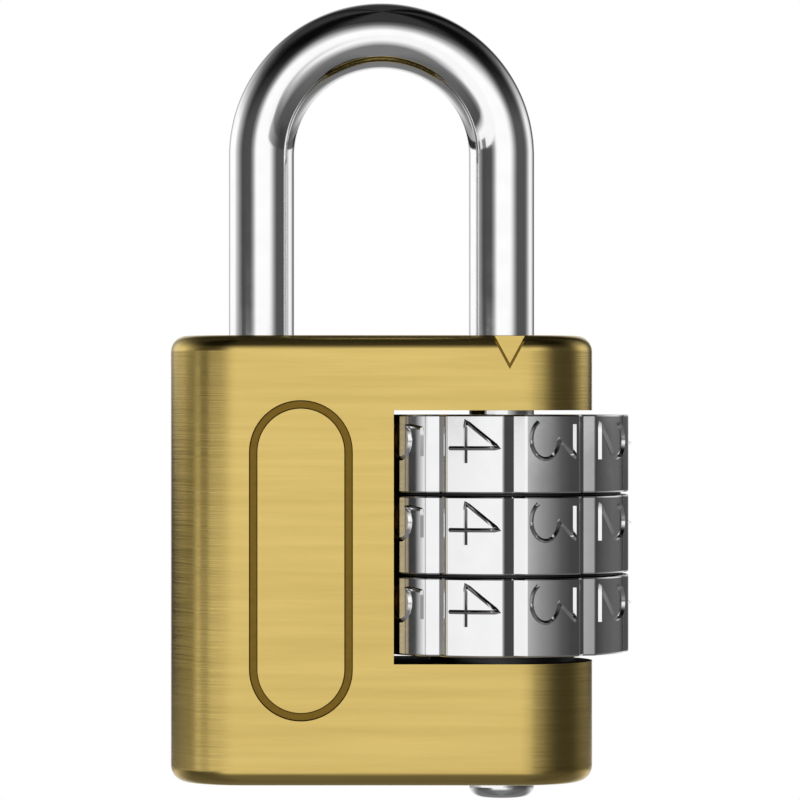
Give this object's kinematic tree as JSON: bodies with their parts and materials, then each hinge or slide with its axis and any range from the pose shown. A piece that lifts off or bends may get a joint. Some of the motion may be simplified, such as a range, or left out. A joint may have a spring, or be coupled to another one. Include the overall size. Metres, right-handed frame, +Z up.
{
  "type": "combination padlock",
  "caption": "Brass padlock with a round steel shackle and three numbered wheels on its heel leg, opened by lining up the code.",
  "frame": {"origin": "middle of the underside of the shackle crown, where the padlock hangs; a padlock is made to be hung, so its frame stands upright as it hangs", "axes": "+X to the end with the wheels, +Y from the front with the engraved panel to the back, +Z up, out of the lock body along the shackle legs"},
  "size_m": [0.0435, 0.024, 0.0753],
  "materials": {
    "body_brass": "brushed along its width",
    "bush_brass": "turned",
    "shackle_chrome": "polished",
    "wheel_chrome": "polished, lightly softened",
    "ring_brass": "turned",
    "washer_steel": "plain",
    "spring_steel": "drawn wire",
    "ball_steel": "polished"
  },
  "bodies": {
    "lock_case": {"lock_body": "body_brass", "bottom_bush": "bush_brass", "spacer_12": "washer_steel", "spacer_23": "washer_steel", "spacer_bottom": "washer_steel", "reset_spring": "spring_steel", "detent_ball_1": "ball_steel", "detent_ball_2": "ball_steel", "detent_ball_3": "ball_steel", "detent_spring_1": "spring_steel", "detent_spring_2": "spring_steel", "detent_spring_3": "spring_steel"},
    "shackle_bar": {"shackle": "shackle_chrome", "heel_clip": "spring_steel"},
    "wheel_1": {"dial_wheel_1": "wheel_chrome"},
    "ring_1": {"code_ring_1": "ring_brass"},
    "wheel_2": {"dial_wheel_2": "wheel_chrome"},
    "ring_2": {"code_ring_2": "ring_brass"},
    "wheel_3": {"dial_wheel_3": "wheel_chrome"},
    "ring_3": {"code_ring_3": "ring_brass"}
  },
  "joints": [
    {"name": "shackle_lift", "type": "slide", "parent": "lock_case", "child": "shackle_bar", "axis": [0, 0, 1], "range_m": [0, 0.006]},
    {"name": "wheel_1_turn", "type": "hinge", "parent": "lock_case", "child": "wheel_1", "pos_m": [0.0114, 0, -0.0363], "axis": [0, 0, 1], "continuous": true},
    {"name": "wheel_2_turn", "type": "hinge", "parent": "lock_case", "child": "wheel_2", "pos_m": [0.0114, 0, -0.0363], "axis": [0, 0, 1], "continuous": true},
    {"name": "wheel_3_turn", "type": "hinge", "parent": "lock_case", "child": "wheel_3", "pos_m": [0.0114, 0, -0.0363], "axis": [0, 0, 1], "continuous": true},
    {"name": "ring_3_shift", "type": "slide", "parent": "wheel_3", "child": "ring_3", "axis": [0, 0, -1], "range_m": [0, 0.001], "stiffness_N_per_m": 150, "springref_m": -0.004, "deforming": ["reset_spring"]},
    {"name": "ring_1_shift", "type": "slide", "parent": "wheel_1", "child": "ring_1", "axis": [0, 0, -1], "range_m": [0, 0.001]},
    {"name": "ring_2_shift", "type": "slide", "parent": "wheel_2", "child": "ring_2", "axis": [0, 0, -1], "range_m": [0, 0.001]}
  ],
  "couplings": [
    {"joint": "ring_1_shift", "follows": "ring_3_shift", "ratio": 1},
    {"joint": "ring_2_shift", "follows": "ring_3_shift", "ratio": 1}
  ]
}
